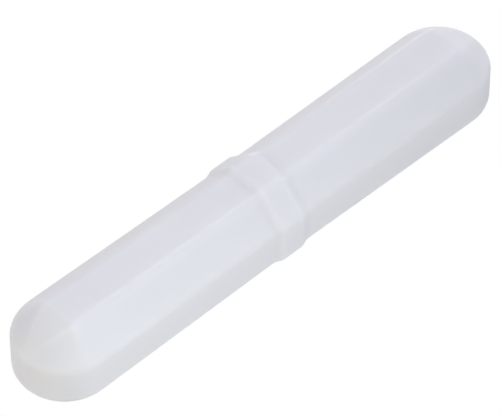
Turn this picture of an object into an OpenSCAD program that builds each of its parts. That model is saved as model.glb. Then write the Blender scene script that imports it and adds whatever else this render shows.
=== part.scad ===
// Octagonal magnetic stir bar with a moulded-on pivot ring
// X runs along the bar, Z is up, and the origin is under the ring, on the bench.

/* [Bar] */
// Length over both domed ends
bar_length = 76.2; // [40:0.1:120]
// Width across the flats where the domed ends begin
end_width = 13.05; // [10:0.05:16]
// Width across the flats at the middle of the bar, under the ring
waist_width = 12.6; // [10:0.05:15.5]
// Rounding of the long edges and of the rim round each end
edge_radius = 1.6; // [0.5:0.05:2.5]

/* [Domed ends] */
// Angle at which the crown of a dome leaves the flat beside it
dome_lead_angle = 6; // [2:0.5:12]

/* [Pivot ring] */
// Length of the ring's flat land along the bar
ring_land = 3.2; // [2:0.1:8]
// Length of each sloping flank beside the land
ring_flank = 1.1; // [0.2:0.05:1.5]
// Height of the land above the bar's waist
ring_rise = 0.4; // [0.1:0.05:1.5]

/* [Magnet] */
// Diameter of the rod magnet sealed inside
magnet_diameter = 8; // [4:0.1:8.5]
// Moulded cover between each end of the magnet and the tip of the bar
end_cover = 7.1; // [5:0.1:15]
// Chamfer on the magnet's ends
magnet_chamfer = 0.5; // [0.2:0.1:1]
// Clearance between the magnet and the jacket all round
magnet_clearance = 0.05; // [0.02:0.01:0.2]

/* [Hidden] */

sides = 8;
corner_turn = 360 / sides;
// Half a flat, as a share of half the width across the flats
flat_share = tan(corner_turn / 2);
// Steps round the rounding of an edge, round each semicircular end and along each ridge of a dome
edge_steps = 4;
rim_steps = 32;
ridge_steps = 10;
// Depth to which the ring's flanks run on below the surface of the bar
ring_root = 0.15;

ring_width = waist_width + 2 * ring_rise;
axis_height = max(ring_width, end_width) / 2;
magnet_length = bar_length - 2 * end_cover;

// The rounded shape is a core whose every point lies one edge radius inside the real surface.
// These are the core's half width, its half flat and the centre of the semicircle at its end.
core_half_width = end_width / 2 - edge_radius;
core_half_flat = core_half_width * flat_share;
dome_centre_x = bar_length / 2 - end_width / 2;

// The crown of a dome is one arc, from the end of the top flat down to the tip of the rim
crown_drop = core_half_width - core_half_flat;
crown_chord = norm([core_half_width, crown_drop]);
crown_half_turn = atan(crown_drop / core_half_width) - dome_lead_angle;
crown_radius = crown_chord / 2 / sin(crown_half_turn);
ridge_shares = [for (i = [0 : ridge_steps - 1]) i / ridge_steps];

// At share s of the arc: its slope, its distance out from the dome's centre, its height above the rim
function crown_slope(s) = dome_lead_angle + 2 * crown_half_turn * s;
function crown_out(s) = crown_radius * (sin(crown_slope(s)) - sin(dome_lead_angle));
function crown_height(s) = crown_drop - crown_radius * (cos(dome_lead_angle) - cos(crown_slope(s)));

function unit(v) = v / norm(v);

// Points of a rounded edge at p on the core, from the direction a of one face to b of the other
function rounding(p, a, b) = [
    for (i = [0 : edge_steps])
        p + edge_radius * unit(a + (b - a) * i / edge_steps)
];

// Outline of a regular octagon with rounded corners, w across the flats
function octagon(w) = [
    for (k = [0 : sides - 1])
        let (
            reach = (w / 2 - edge_radius) / cos(corner_turn / 2),
            middle = (k + 0.5) * corner_turn,
            from = k * corner_turn,
            to = from + corner_turn
        )
            each rounding(reach * [cos(middle), sin(middle)], [cos(from), sin(from)], [cos(to), sin(to)])
];

// The rim's upper edge at angle a in plan, above an upright wall that is round in plan.
// The face above it leans back until it rests on a ridge of the core.
function rim_edge(a) = let (
    outward = [cos(a), sin(a)],
    lean = max([
        for (s = ridge_shares)
            let (ridge = [crown_out(s), core_half_flat * crown_height(s) / crown_drop])
                atan2(crown_height(s), core_half_width - ridge * outward)
    ])
) rounding(
    [core_half_width * outward.x, core_half_width * outward.y, core_half_flat],
    [sin(lean) * outward.x, sin(lean) * outward.y, cos(lean)],
    [outward.x, outward.y, 0]
);

// A ridge at share s of the crown's arc. The ridges run together at the tip, so each one's tangent
// meets the rim's plane on the bar's axis, and the face beside the ridge touches the rim from there.
function ridge_edge(s) = let (
    fall = tan(crown_slope(s)),
    kept = crown_height(s) / crown_drop,
    along = [1, -core_half_flat / crown_drop * fall, -fall],
    contact = acos(core_half_width / (crown_out(s) + crown_height(s) / fall))
) rounding(
    [crown_out(s), core_half_flat * kept, core_half_flat + crown_height(s)],
    [sin(crown_slope(s)), 0, cos(crown_slope(s))],
    unit(cross(along, [-sin(contact), cos(contact), 0]))
);

// One quarter of a domed end, above and beside the bar's axis, about the dome's centre
dome_quarter = concat(
    [for (i = [0 : rim_steps / 2 - 1]) each rim_edge(180 * i / rim_steps)],
    [for (s = ridge_shares) each ridge_edge(s)]
);

// One half of the bar, from beside its middle to the tip of its domed end
module half_bar() {
    points = concat(
        [for (p = octagon(waist_width)) [ring_land / 4, p.x, p.y]],
        [for (p = octagon(end_width)) [dome_centre_x, p.x, p.y]],
        [for (side = [-1, 1], up = [-1, 1], p = dome_quarter) [dome_centre_x + p.x, side * p.y, up * p.z]]
    );
    hull()
        polyhedron(points, [[for (i = [0 : len(points) - 1]) i]]);
}

// A plate lying across the bar, centred on its middle
module octagon_plate(w, thickness) {
    translate([-thickness / 2, 0, 0])
        rotate([90, 0, 90])
            linear_extrude(thickness)
                polygon(octagon(w));
}

// The ring that the bar pivots on: a flat land between two sloping flanks
module pivot_ring() {
    hull() {
        octagon_plate(ring_width, ring_land);
        octagon_plate(waist_width - 2 * ring_root, ring_land + 2 * ring_flank * (1 + ring_root / ring_rise));
    }
}

// A rod along the bar with a chamfer at both ends
module rod(diameter, length, chamfer) {
    r = diameter / 2;
    rotate([0, 90, 0])
        rotate_extrude($fn = 96)
            polygon([
                [0, -length / 2],
                [r - chamfer, -length / 2],
                [r, -length / 2 + chamfer],
                [r, length / 2 - chamfer],
                [r - chamfer, length / 2],
                [0, length / 2]
            ]);
}

module jacket() {
    color("white")
        translate([0, 0, axis_height])
            difference() {
                union() {
                    half_bar();
                    mirror([1, 0, 0]) half_bar();
                    pivot_ring();
                }
                rod(magnet_diameter + 2 * magnet_clearance, magnet_length + 2 * magnet_clearance, magnet_chamfer);
            }
}

module magnet() {
    color("dimgray")
        translate([0, 0, axis_height])
            rod(magnet_diameter, magnet_length, magnet_chamfer);
}

jacket();
magnet();
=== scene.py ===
# %% [markdown]
# # A magnetic stir bar
#
# A stir bar is a rod magnet inside a white fluoropolymer moulding. It lies in a beaker, and a turning
# magnet under the hotplate spins it. This one is octagonal, both ends are faceted domes, and a low ring
# round its middle carries it, so that it spins on a small patch and not on its whole length.
#
# The lesson builds the look of that moulding round a model that already has the right size. Each cell
# does one step. Run them from top to bottom.

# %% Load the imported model
import math

import bpy
from mathutils import Matrix, Vector


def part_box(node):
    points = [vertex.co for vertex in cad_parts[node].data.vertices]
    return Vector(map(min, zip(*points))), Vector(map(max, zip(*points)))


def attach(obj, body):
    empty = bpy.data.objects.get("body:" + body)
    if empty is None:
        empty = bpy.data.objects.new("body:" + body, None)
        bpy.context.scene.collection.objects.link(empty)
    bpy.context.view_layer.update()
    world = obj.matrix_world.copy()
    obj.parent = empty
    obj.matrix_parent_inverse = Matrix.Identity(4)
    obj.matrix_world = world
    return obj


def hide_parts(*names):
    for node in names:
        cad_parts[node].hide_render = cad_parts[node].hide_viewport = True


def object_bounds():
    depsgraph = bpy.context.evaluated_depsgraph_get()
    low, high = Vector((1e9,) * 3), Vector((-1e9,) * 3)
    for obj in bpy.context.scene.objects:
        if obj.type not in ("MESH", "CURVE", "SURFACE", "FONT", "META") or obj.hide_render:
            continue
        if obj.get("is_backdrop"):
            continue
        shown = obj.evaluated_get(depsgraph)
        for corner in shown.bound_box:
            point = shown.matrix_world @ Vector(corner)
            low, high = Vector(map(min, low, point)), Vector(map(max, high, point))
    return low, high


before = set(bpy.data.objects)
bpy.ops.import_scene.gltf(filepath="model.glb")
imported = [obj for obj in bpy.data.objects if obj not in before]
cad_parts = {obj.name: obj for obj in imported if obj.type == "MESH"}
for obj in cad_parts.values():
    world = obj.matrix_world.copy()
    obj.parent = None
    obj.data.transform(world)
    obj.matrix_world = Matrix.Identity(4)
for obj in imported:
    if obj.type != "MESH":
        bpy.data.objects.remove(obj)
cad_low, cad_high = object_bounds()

# Blender works in metres
MM = 0.001

print("nodes:", sorted(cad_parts), "box in mm:", [round(v / MM, 2) for v in cad_high - cad_low])

# %% [markdown]
# ## Sizes
#
# The long sizes are read from the loaded model, so the new surface can't drift away from it. The few
# sizes that a box can't tell, such as the width at the waist and the radius of an edge, are named here
# in millimetres, and each one is multiplied by MM once.

# %% Name the sizes of the bar
jacket_low, jacket_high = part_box("jacket")
bar_length = jacket_high.x - jacket_low.x
ring_width = jacket_high.z - jacket_low.z
axis_height = (jacket_high.z + jacket_low.z) / 2

# Width across the flats, where a dome begins and at the middle of the bar
END_WIDTH = 13.05 * MM
WAIST_WIDTH = 12.6 * MM
# Rounding of every edge
EDGE_RADIUS = 1.6 * MM
# Length along the bar of the ring's flat land and of each of its two flanks
RING_LAND = 2.8 * MM
RING_FLANK = 1.8 * MM
# The crease between the top face and a dome: its angle, and how far past the dome's centre it lies
DOME_LEAD = math.radians(19)
CROWN_SETBACK = 0.6 * MM
# Half of the turn at a corner of an octagon
HALF_CORNER = math.radians(22.5)

dome_centre_x = (bar_length - END_WIDTH) / 2
bar_centre = Vector((0, 0, axis_height))
print("the straight part ends", round(dome_centre_x / MM, 2), "mm from the middle")

# %% [markdown]
# ## Camera
#
# The camera stands about half a metre away and looks down at the bar from its left. A camera close by
# would make the near end look much larger than the far end. From half a metre, with a long lens, the two
# long edges stay nearly parallel. The bar sits a hair off the middle of the frame, so the camera is moved
# sideways by that much.

# %% Place the camera
CAMERA_AZIMUTH = -43.64
CAMERA_ELEVATION = 48.48
CAMERA_DISTANCE = 548.6 * MM
CAMERA_SIDESTEP = -0.79 * MM
CAMERA_LIFT = 0.01 * MM
# A camera's lens and sensor are the one thing that Blender wants in millimetres
LENS = 322.5
SENSOR_WIDTH = 36
# Nothing nearer or farther than this is drawn, in metres
NEAREST_SEEN = 0.01
FARTHEST_SEEN = 20


def towards(azimuth, elevation):
    """The direction out from the bar to a thing at that azimuth and elevation, in degrees."""
    turn = math.radians(azimuth)
    rise = math.radians(elevation)
    return Vector((math.sin(turn) * math.cos(rise), -math.cos(turn) * math.cos(rise), math.sin(rise)))


back = towards(CAMERA_AZIMUTH, CAMERA_ELEVATION)
right = Vector((-back.y, back.x, 0)).normalized()
above = back.cross(right)
eye = bar_centre + back * CAMERA_DISTANCE + right * CAMERA_SIDESTEP + above * CAMERA_LIFT

bpy.ops.object.camera_add(location=eye)
camera = bpy.context.object
camera.name = "bench_camera"
camera.rotation_mode = "QUATERNION"
camera.rotation_quaternion = Matrix((right, above, back)).transposed().to_quaternion()
camera.data.sensor_width = SENSOR_WIDTH
camera.data.lens = LENS
camera.data.clip_start = NEAREST_SEEN
camera.data.clip_end = FARTHEST_SEEN
bpy.context.scene.camera = camera
print("camera at", [round(v, 4) for v in eye])

# %% [markdown]
# ## From a flat sheet to a moulding
#
# The jacket is one moulding. An octagon, extruded and bevelled, would give its straight part, but not its
# domes: no bevel or cut makes their slanted faces, which bend in one direction and meet a round rim. So
# the points of the skin are calculated, and a sheet is laid over them.
#
# The bar is the same on both sides of its three middle planes, so one eighth of its skin is enough.
# That eighth is a grid: its columns are ribs that run from the middle of the wall up to the middle of
# the top face, and there is one rib for each place along the bar.
#
# Every rib has the same five stretches: the upright wall, a rounded edge, the slanted face, a second
# rounded edge and the top face. A rounded edge is part of a ball of one edge radius that rolls along a
# core line inside the bar. So a rib needs only the two places of that ball and the directions that the
# three faces look in.

# %% Describe one rib
WALL_STEPS = 3
EDGE_STEPS = 8
FACE_STEPS = 5
TOP_STEPS = 3


def stretch(start, end, steps):
    """Points from start towards end, without the end itself."""
    return [start.lerp(end, i / steps) for i in range(steps)]


def rounded_edge(ball, first_normal, last_normal):
    """Points round a ball, from where one face touches it towards where the next one does."""
    normals = [first_normal.lerp(last_normal, i / EDGE_STEPS).normalized() for i in range(EDGE_STEPS)]
    return [ball + normal * EDGE_RADIUS for normal in normals]


def rib(rim_ball, ridge_ball, wall_normal, face_normal, top_normal):
    """One rib, from the middle of the wall to the middle of the top face, about the bar's axis."""
    rim_wall = rim_ball + wall_normal * EDGE_RADIUS
    rim_face = rim_ball + face_normal * EDGE_RADIUS
    ridge_face = ridge_ball + face_normal * EDGE_RADIUS
    ridge_top = ridge_ball + top_normal * EDGE_RADIUS
    wall_middle = Vector((rim_wall.x, rim_wall.y, 0))
    top_middle = Vector((ridge_top.x, 0, ridge_top.z))
    return (
        stretch(wall_middle, rim_wall, WALL_STEPS)
        + rounded_edge(rim_ball, wall_normal, face_normal)
        + stretch(rim_face, ridge_face, FACE_STEPS)
        + rounded_edge(ridge_ball, face_normal, top_normal)
        + stretch(ridge_top, top_middle, TOP_STEPS)
        + [top_middle]
    )


print("a rib has", WALL_STEPS + FACE_STEPS + TOP_STEPS + 2 * EDGE_STEPS, "steps")

# %% [markdown]
# ## The straight part and its ring
#
# Along the straight part only the width changes. It falls evenly from the dome to the waist, and the
# ring lifts it again. The ring could be a piece of its own, pushed over the bar, but the real one is
# moulded with it and shows no joint line, so here it is a swelling of the same skin. Its flank comes down
# from a soft shoulder and runs out in a long, flat fillet at its foot. A straight ramp would catch the
# light in two hard lines.

# %% Set the width along the bar
FLANK_RIBS = 12
BODY_RIBS = 8
# The ring's land has one rib between its middle and its end, at this share of the way
LAND_RIB_SHARE = 0.6

SIDEWAYS = Vector((0, 1, 0))
UPWARDS = Vector((0, 0, 1))
SLANTED = (SIDEWAYS + UPWARDS).normalized()


def flank_drop(share):
    """How far the flank has come down, from 0 to 1: fast below its shoulder and slowly at its foot."""
    share = min(max(share, 0), 1)
    return 1 - (1 - share) ** 3 * (1 + 3 * share)


def width_at(x):
    """Width across the flats at a distance x from the middle."""
    bare = WAIST_WIDTH + (END_WIDTH - WAIST_WIDTH) * x / dome_centre_x
    on_ring = 1 - flank_drop((x - RING_LAND / 2) / RING_FLANK)
    return bare + (ring_width - bare) * on_ring


def straight_rib(x):
    """The rib at a distance x from the middle, on the straight part."""
    core = width_at(x) / 2 - EDGE_RADIUS
    core_flat = core * math.tan(HALF_CORNER)
    rim_ball = Vector((x, core, core_flat))
    ridge_ball = Vector((x, core_flat, core))
    return rib(rim_ball, ridge_ball, SIDEWAYS, SLANTED, UPWARDS)


land_end = RING_LAND / 2
flank_end = land_end + RING_FLANK
body_length = dome_centre_x - flank_end
straight_places = [0, land_end * LAND_RIB_SHARE]
straight_places += [land_end + RING_FLANK * i / FLANK_RIBS for i in range(FLANK_RIBS + 1)]
straight_places += [flank_end + body_length * (i + 0.5) / BODY_RIBS for i in range(BODY_RIBS)]
straight_ribs = [straight_rib(x) for x in straight_places]
print(len(straight_ribs), "ribs on the straight part of one half")

# %% [markdown]
# ## The domed end
#
# Seen from above, the wall goes round a semicircle at a constant height. Seen from the side, the top
# face ends in a crease and bends down along one arc to the tip, and the ridges beside it close in until
# all three faces meet there. The slanted face has to join the straight top of the wall to that arc
# without a twist. Such a face is a developable one: it is made of straight lines, and each line touches
# the rim and the ridge where both have the same tangent plane.
#
# There is a short way to find those lines. The tangent of the ridge is followed down to the level of
# the rim. From the place where it lands, a straight line touches this side of the semicircle at exactly
# one angle, and the rib stands there. Before the first of these ribs, a fan of ribs turns about the end
# of the straight ridge.

# %% Describe the dome's ribs
FAN_RIBS = 8
DOME_RIBS = 44
QUARTER_TURN = math.pi / 2

dome_core = END_WIDTH / 2 - EDGE_RADIUS
dome_core_flat = dome_core * math.tan(HALF_CORNER)
crown_drop = dome_core - dome_core_flat
crown_run = dome_core - CROWN_SETBACK
crown_half_turn = math.atan2(crown_drop, crown_run) - DOME_LEAD
crown_radius = math.hypot(crown_run, crown_drop) / 2 / math.sin(crown_half_turn)


def crown(share):
    """At a share of the crown's arc: its slope, distance past the dome's centre and height above the rim."""
    slope = DOME_LEAD + 2 * crown_half_turn * share
    out = CROWN_SETBACK + crown_radius * (math.sin(slope) - math.sin(DOME_LEAD))
    height = crown_drop - crown_radius * (math.cos(DOME_LEAD) - math.cos(slope))
    return slope, out, height


def rim_contact(share):
    """The angle in plan at which the slanted face beside that place of the ridge touches the rim."""
    slope, out, height = crown(share)
    return math.acos(min(1, dome_core / (out + height / math.tan(slope))))


def dome_rib(share, plan_angle, top_slope):
    """The rib from the rim at plan_angle to the ridge at share, under a top that slopes by top_slope."""
    _, out, height = crown(share)
    wall_normal = Vector((math.cos(plan_angle), math.sin(plan_angle), 0))
    rim_tangent = Vector((-math.sin(plan_angle), math.cos(plan_angle), 0))
    rim_ball = Vector((dome_centre_x, 0, dome_core_flat)) + wall_normal * dome_core
    ridge_side = dome_core_flat * height / crown_drop
    ridge_ball = Vector((dome_centre_x + out, ridge_side, dome_core_flat + height))
    top_normal = Vector((math.sin(top_slope), 0, math.cos(top_slope)))
    # At the tip the two balls are in one place, and the slanted face has run out
    face_normal = top_normal
    if share < 1:
        face_normal = rim_tangent.cross(ridge_ball - rim_ball).normalized()
    return rib(rim_ball, ridge_ball, wall_normal, face_normal, top_normal)


def fan_rib(share):
    """A rib of the fan, at a share of the way from the straight part to the dome's first line."""
    plan_angle = QUARTER_TURN + (rim_contact(0) - QUARTER_TURN) * share
    return dome_rib(0, plan_angle, DOME_LEAD * share)


dome_shares = [i / DOME_RIBS for i in range(1, DOME_RIBS + 1)]
fan_ribs = [fan_rib(i / FAN_RIBS) for i in range(FAN_RIBS + 1)]
dome_ribs = [dome_rib(share, rim_contact(share), crown(share)[0]) for share in dome_shares]
ribs = straight_ribs + fan_ribs + dome_ribs
print(len(ribs), "ribs of", len(ribs[0]), "points")

# %% [markdown]
# ## Wrap the sheet and mirror it
#
# A grid primitive is the flat sheet. Each of its vertices still knows its row and column from where it
# lies, so it can be sent to its point on a rib. A Mirror modifier on all three axes then makes the other
# seven eighths. At the tip the slanted face and the top face run out in a point, and merging by distance
# leaves clean triangles there.

# %% Make the jacket
SHEET_SIZE = 2
# Points closer than half a micrometre become one
WELD = 0.5e-6


def select_only(obj):
    """Leaves obj as the one selected and active object."""
    bpy.ops.object.select_all(action="DESELECT")
    obj.select_set(True)
    bpy.context.view_layer.objects.active = obj


columns = len(ribs) - 1
rows = len(ribs[0]) - 1

select_only(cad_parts["jacket"])
bpy.ops.mesh.primitive_grid_add(x_subdivisions=columns, y_subdivisions=rows, size=SHEET_SIZE)
jacket = bpy.context.object
jacket.name = "moulded_jacket"
select_only(jacket)
# The sheet lies from minus half its size to plus half of it, both ways
for vertex in jacket.data.vertices:
    column = round((vertex.co.x / SHEET_SIZE + 0.5) * columns)
    row = round((vertex.co.y / SHEET_SIZE + 0.5) * rows)
    vertex.co = ribs[column][row]

mirror = jacket.modifiers.new("other_seven_eighths", "MIRROR")
mirror.use_axis = (True, True, True)
mirror.merge_threshold = WELD
bpy.ops.object.modifier_apply(modifier=mirror.name)

bpy.ops.object.mode_set(mode="EDIT")
bpy.ops.mesh.select_all(action="SELECT")
bpy.ops.mesh.remove_doubles(threshold=WELD)
bpy.ops.mesh.normals_make_consistent(inside=False)
bpy.ops.transform.translate(value=bar_centre)
bpy.ops.object.mode_set(mode="OBJECT")
print("jacket:", len(jacket.data.vertices), "vertices,", len(jacket.data.polygons), "faces")

# %% [markdown]
# ## The pocket for the magnet
#
# The real jacket isn't solid: a rod magnet fills its middle. Nobody can see the pocket, but light can
# find it. The plastic lets light in a few millimetres deep, and what reaches the dark magnet is lost,
# so the flats over the magnet look a touch darker than the ridges. The pocket could be cut out with a
# Boolean modifier. But it touches the skin nowhere, so a cylinder with its faces turned inwards does the
# same when it is joined to the skin as its inner wall, and it leaves the outer faces as they are.

# %% Line the pocket
POCKET_CLEARANCE = 0.05 * MM
POCKET_CHAMFER = 0.5 * MM
POCKET_SIDES = 96

magnet_low, magnet_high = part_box("magnet")
pocket_radius = (magnet_high.z - magnet_low.z) / 2 + POCKET_CLEARANCE
pocket_length = magnet_high.x - magnet_low.x + 2 * POCKET_CLEARANCE

bpy.ops.mesh.primitive_cylinder_add(
    vertices=POCKET_SIDES,
    radius=pocket_radius,
    depth=pocket_length,
    location=bar_centre,
    rotation=(0, QUARTER_TURN, 0),
)
pocket = bpy.context.object
bpy.ops.object.transform_apply(location=True, rotation=True, scale=True)
bpy.ops.object.mode_set(mode="EDIT")
bpy.ops.mesh.select_all(action="DESELECT")
bpy.ops.object.mode_set(mode="OBJECT")
# The chamfer goes round both ends, on the edges that don't run along the bar
for edge in pocket.data.edges:
    start, end = (pocket.data.vertices[i].co for i in edge.vertices)
    edge.select = abs(start.x - end.x) < pocket_length / 2
bpy.ops.object.mode_set(mode="EDIT")
bpy.ops.mesh.bevel(offset=POCKET_CHAMFER, segments=1)
bpy.ops.mesh.select_all(action="SELECT")
bpy.ops.mesh.flip_normals()
bpy.ops.object.mode_set(mode="OBJECT")
select_only(jacket)
pocket.select_set(True)
bpy.ops.object.join()
print("pocket:", round(2 * pocket_radius / MM, 2), "by", round(pocket_length / MM, 2), "mm")

# %% [markdown]
# ## Keep the flats flat
#
# Smooth shading mixes the normals of all faces round a vertex. Next to a large flat face that would
# bend the light on the flat itself, as if it were blown up. Flat shading would show every step of the
# rounded edges. A Weighted Normal modifier lets the largest face win, so all of the turning happens
# inside the rounded edge, where it belongs.
#
# The last lines hide the loaded jacket, which this piece takes the place of, and hang this piece on the
# model's one body.

# %% Shade the jacket
# At 50 each face counts by its area, and above that the large ones count for more
LARGE_FACES_WIN = 80

bpy.ops.object.shade_smooth()
weighted = jacket.modifiers.new("flats_stay_flat", "WEIGHTED_NORMAL")
weighted.mode = "FACE_AREA"
weighted.weight = LARGE_FACES_WIN
bpy.ops.object.modifier_apply(modifier=weighted.name)

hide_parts("jacket")
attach(jacket, "root")
print("jacket with its pocket:", len(jacket.data.polygons), "faces")

# %% [markdown]
# ## A cloudy colour
#
# No moulding or casting has quite the same tone all over. One flat colour would look like paint, and a
# picture wrapped round the bar would show a seam. So the colour comes from soft noise through the solid,
# which mixes faint patches of a second tone into the first.
#
# All finishes here need this effect, so it is a node group with named inputs, built once and placed in
# each material with its own values.

# %% Build the cloudy colour
def new_group(name, inputs, outputs):
    """An empty shader node group with those sockets, and its input and output nodes."""
    group = bpy.data.node_groups.new(name, "ShaderNodeTree")
    for socket_name, kind, default in inputs:
        group.interface.new_socket(socket_name, in_out="INPUT", socket_type=kind).default_value = default
    for socket_name, kind in outputs:
        group.interface.new_socket(socket_name, in_out="OUTPUT", socket_type=kind)
    return group, group.nodes.new("NodeGroupInput"), group.nodes.new("NodeGroupOutput")


def cloudy_colour_group():
    """Patches of a second tone on a base tone, from soft noise through the solid."""
    group, given, result = new_group(
        "cloudy_colour",
        [
            ("Base", "NodeSocketColor", (0.8, 0.8, 0.8, 1)),
            ("Cloud", "NodeSocketColor", (0.7, 0.7, 0.7, 1)),
            ("Scale", "NodeSocketFloat", 100),
            ("Amount", "NodeSocketFloat", 0.5),
        ],
        [("Colour", "NodeSocketColor")],
    )
    place = group.nodes.new("ShaderNodeTexCoord")
    noise = group.nodes.new("ShaderNodeTexNoise")
    noise.inputs["Detail"].default_value = 2
    noise.inputs["Roughness"].default_value = 0.4
    share = group.nodes.new("ShaderNodeMath")
    share.operation = "MULTIPLY"
    mix = group.nodes.new("ShaderNodeMix")
    mix.data_type = "RGBA"
    link = group.links.new
    link(place.outputs["Object"], noise.inputs["Vector"])
    link(given.outputs["Scale"], noise.inputs["Scale"])
    link(noise.outputs["Fac"], share.inputs[0])
    link(given.outputs["Amount"], share.inputs[1])
    link(share.outputs["Value"], mix.inputs["Factor"])
    link(given.outputs["Base"], mix.inputs["A"])
    link(given.outputs["Cloud"], mix.inputs["B"])
    link(mix.outputs["Result"], result.inputs["Colour"])
    return group


cloudy_colour = cloudy_colour_group()
print("group", cloudy_colour.name, "with", len(cloudy_colour.nodes), "nodes")

# %% [markdown]
# ## An uneven surface
#
# A moulded or ground face isn't perfectly flat either: it has a broad, very low wave and a fine grain.
# They are far too small for the mesh, so a second group gives them as a height, and a Bump node in the
# material turns that into light and shade.

# %% Build the uneven surface
def uneven_surface_group():
    """A height made of a broad wave and a fine grain."""
    group, given, result = new_group(
        "uneven_surface",
        [
            ("Wave Scale", "NodeSocketFloat", 100),
            ("Wave Height", "NodeSocketFloat", 1),
            ("Grain Scale", "NodeSocketFloat", 3000),
            ("Grain Height", "NodeSocketFloat", 0.1),
        ],
        [("Height", "NodeSocketFloat")],
    )
    place = group.nodes.new("ShaderNodeTexCoord")
    total = group.nodes.new("ShaderNodeMath")
    total.operation = "ADD"
    link = group.links.new
    for term, kind in enumerate(("Wave", "Grain")):
        noise = group.nodes.new("ShaderNodeTexNoise")
        scaled = group.nodes.new("ShaderNodeMath")
        scaled.operation = "MULTIPLY"
        link(place.outputs["Object"], noise.inputs["Vector"])
        link(given.outputs[kind + " Scale"], noise.inputs["Scale"])
        link(noise.outputs["Fac"], scaled.inputs[0])
        link(given.outputs[kind + " Height"], scaled.inputs[1])
        link(scaled.outputs["Value"], total.inputs[term])
    link(total.outputs["Value"], result.inputs["Height"])
    return group


uneven_surface = uneven_surface_group()
print("group", uneven_surface.name, "with", len(uneven_surface.nodes), "nodes")

# %% [markdown]
# ## The moulded fluoropolymer
#
# The plastic is white with a breath of blue, and light goes some way into it. That softens every
# shadow on it and makes thin edges glow. White paint on a hard body would look like china, so the shader
# lets the light in by its subsurface sockets. The surface is satin, from the machined mould, and reflects
# less than most plastics because its refractive index is very low, about 1.35.

# %% Make the plastic
PLASTIC_WHITE = (0.710, 0.724, 0.766, 1)
PLASTIC_CLOUD = (0.685, 0.704, 0.736, 1)


def place_group(material, group, values):
    """The group as a node of the material, with its inputs set."""
    node = material.node_tree.nodes.new("ShaderNodeGroup")
    node.node_tree = group
    for name, value in values.items():
        node.inputs[name].default_value = value
    return node


def new_finish(name, tones, unevenness, bump_strength, bump_depth):
    """A material with a cloudy colour on an uneven surface, and its shader for all other settings."""
    material = bpy.data.materials.new(name)
    material.use_nodes = True
    shader = material.node_tree.nodes["Principled BSDF"]
    colour = place_group(material, cloudy_colour, tones)
    height = place_group(material, uneven_surface, unevenness)
    bump = material.node_tree.nodes.new("ShaderNodeBump")
    bump.inputs["Strength"].default_value = bump_strength
    bump.inputs["Distance"].default_value = bump_depth
    link = material.node_tree.links.new
    link(colour.outputs["Colour"], shader.inputs["Base Color"])
    link(height.outputs["Height"], bump.inputs["Height"])
    link(bump.outputs["Normal"], shader.inputs["Normal"])
    return material, shader


def moulded_plastic():
    """Satin white fluoropolymer, slightly translucent."""
    material, shader = new_finish(
        "moulded_plastic",
        tones={"Base": PLASTIC_WHITE, "Cloud": PLASTIC_CLOUD, "Scale": 140, "Amount": 0.6},
        unevenness={"Wave Scale": 120, "Wave Height": 1, "Grain Scale": 2500, "Grain Height": 0.04},
        bump_strength=0.25,
        bump_depth=0.1 * MM,
    )
    shader.inputs["Roughness"].default_value = 0.4
    shader.inputs["IOR"].default_value = 1.35
    shader.inputs["Subsurface Weight"].default_value = 1
    shader.inputs["Subsurface Radius"].default_value = (1.0, 1.0, 1.1)
    shader.inputs["Subsurface Scale"].default_value = 1.5 * MM
    return material


jacket.data.materials.clear()
jacket.data.materials.append(moulded_plastic())
print("jacket in", jacket.data.materials[0].name)

# %% [markdown]
# ## The magnet
#
# The rod is sealed in, so nobody sees it. It keeps its place and its shape from the loaded model and
# gets a dull metal all the same, for anyone who cuts the bar open in the viewport. The two groups serve
# again, with darker tones and a finer but deeper grain.

# %% Give the magnet its metal
METAL_GREY = (0.30, 0.29, 0.28, 1)
METAL_CLOUD = (0.22, 0.21, 0.21, 1)


def ground_metal():
    """Cast magnet alloy with a ground surface."""
    material, shader = new_finish(
        "ground_metal",
        tones={"Base": METAL_GREY, "Cloud": METAL_CLOUD, "Scale": 900, "Amount": 0.8},
        unevenness={"Wave Scale": 300, "Wave Height": 0.3, "Grain Scale": 6000, "Grain Height": 0.3},
        bump_strength=0.4,
        bump_depth=0.05 * MM,
    )
    shader.inputs["Metallic"].default_value = 1
    shader.inputs["Roughness"].default_value = 0.45
    return material


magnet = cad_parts["magnet"]
magnet.data.materials.clear()
magnet.data.materials.append(ground_metal())
print("magnet in", magnet.data.materials[0].name)

# %% [markdown]
# ## A light table
#
# White plastic on white shows only if its edges and faces differ a little in tone. A sheet of paper under
# lamps would take the bar's shadow. A light table doesn't: the floor glows evenly. What the camera sees
# of it is pure white, while the glow that reaches the bar is weaker, as from an opal sheet that is
# brightest straight up. The Light Path node tells the two apart, for the floor and for the room behind
# it. The floor is a stage and not a part of the object.

# %% Lay the floor
# Side of the floor, in metres
FLOOR_SIZE = 6
# Strength and colour of a glow
FLOOR_GLOW = (0.728, (0.97, 0.965, 1, 1))
ROOM_GLOW = (0.18, (1, 0.81, 0.85, 1))
SEEN_GLOW = (1.0, (1, 1, 1, 1))


def glow_by_ray(nodes, links, node_type, unseen_glow):
    """A pure white glow for the camera and another one for all other rays."""
    path = nodes.new("ShaderNodeLightPath")
    mix = nodes.new("ShaderNodeMixShader")
    links.new(path.outputs["Is Camera Ray"], mix.inputs["Fac"])
    # Both of the mixer's shader sockets have the same name, so they are known by number
    for socket, (strength, colour) in ((1, unseen_glow), (2, SEEN_GLOW)):
        glow = nodes.new(node_type)
        glow.inputs["Color"].default_value = colour
        glow.inputs["Strength"].default_value = strength
        links.new(glow.outputs[0], mix.inputs[socket])
    return mix


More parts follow.
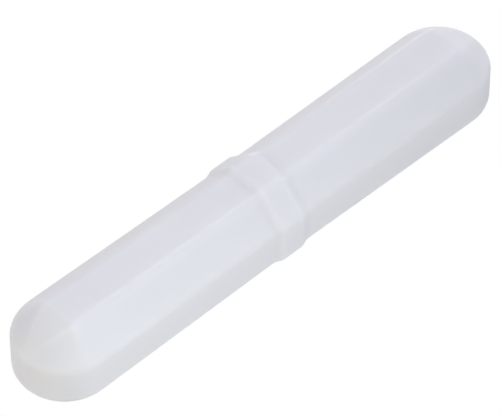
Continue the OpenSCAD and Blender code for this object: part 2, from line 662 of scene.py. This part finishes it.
def light_table():
    """An opal sheet, lit from below."""
    material = bpy.data.materials.new("light_table")
    material.use_nodes = True
    nodes = material.node_tree.nodes
    nodes.remove(nodes["Principled BSDF"])
    links = material.node_tree.links
    mix = glow_by_ray(nodes, links, "ShaderNodeEmission", FLOOR_GLOW)
    links.new(mix.outputs[0], nodes["Material Output"].inputs["Surface"])
    return material


bpy.ops.mesh.primitive_plane_add(size=FLOOR_SIZE)
floor = bpy.context.object
floor.name = "floor"
floor.data.materials.append(light_table())
floor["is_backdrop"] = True

world = bpy.data.worlds.new("pale_room")
world.use_nodes = True
world_nodes = world.node_tree.nodes
world_nodes.remove(world_nodes["Background"])
room = glow_by_ray(world_nodes, world.node_tree.links, "ShaderNodeBackground", ROOM_GLOW)
world.node_tree.links.new(room.outputs[0], world_nodes["World Output"].inputs["Surface"])
bpy.context.scene.world = world
bpy.context.scene.view_settings.view_transform = "Standard"
print("floor of", FLOOR_SIZE, "m with a glow of", FLOOR_GLOW[0], "in a room with a glow of", ROOM_GLOW[0])

# %% [markdown]
# ## Soft light
#
# Ten soft boxes give the faces their different tones. One large lamp would be simpler, but it would give
# all faces that look the same way the same tone, and here the tones also change from one end of the bar
# to the other. Most of the boxes look at the middle of the bar. Two small ones stand close to the near
# end, so their light falls off along the bar. Two lamps are small for their distance, which makes their
# light harder. What comes from high up is a little blue, and what comes from low down is mostly a little
# warm, as in a room with a window and lamps.

# %% Light the scene
NEAR_END = -34 * MM
MIDDLE = 0
SOFT_BOXES = {
    # name: azimuth and elevation in degrees, distance and size in metres, strength, aim, colour
    "high_behind": (120, 60, 0.45, 0.22, 0.41, MIDDLE, (0.95, 0.97, 1.00)),
    "high_at_the_near_end": (-120, 60, 0.45, 0.22, 0.153, MIDDLE, (0.87, 0.88, 1.00)),
    "low_behind_near": (-120, 8, 0.45, 0.22, 0.388, MIDDLE, (0.99, 1.00, 0.86)),
    "low_behind_far": (120, 8, 0.45, 0.22, 0.147, MIDDLE, (1.00, 0.92, 0.91)),
    "low_at_the_far_end": (90, 8, 0.45, 0.22, 0.144, MIDDLE, (1.00, 0.95, 0.76)),
    "front_far": (30, 33, 0.45, 0.22, 0.147, MIDDLE, (0.67, 0.76, 1.00)),
    "warm_lamp": (-46, 20, 0.45, 0.08, 0.159, MIDDLE, (1.00, 0.79, 0.50)),
    "back_lamp": (140, 5, 0.45, 0.08, 0.12, MIDDLE, (1.00, 1.00, 0.98)),
    "front_near": (0, 15, 0.12, 0.07, 0.22, NEAR_END, (0.94, 1.00, 0.95)),
    "over_front_near": (0, 45, 0.12, 0.07, 0.309, NEAR_END, (0.88, 1.00, 0.96)),
}
# Power of a box of strength 1, in watts for each square metre of distance
POWER_AT_A_METRE = 9.87

for name, (azimuth, elevation, distance, size, strength, aim, colour) in SOFT_BOXES.items():
    direction = towards(azimuth, elevation)
    aim_point = bar_centre + Vector((aim, 0, 0))
    bpy.ops.object.light_add(type="AREA", location=aim_point + direction * distance)
    box = bpy.context.object
    box.name = name
    box.rotation_mode = "QUATERNION"
    box.rotation_quaternion = direction.to_track_quat("Z", "Y")
    box.data.shape = "SQUARE"
    box.data.size = size
    box.data.energy = strength * POWER_AT_A_METRE * distance**2
    box.data.color = colour
    print(name, "at", [round(v, 3) for v in box.location])

# %% [markdown]
# ## Finish
#
# The last cell prints how large the finished look is beside the loaded model.

# %% Measure and finish
look_low, look_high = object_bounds()
growth = (look_high - look_low) - (cad_high - cad_low)
print("look minus CAD in mm:", [round(v / MM, 3) for v in growth])
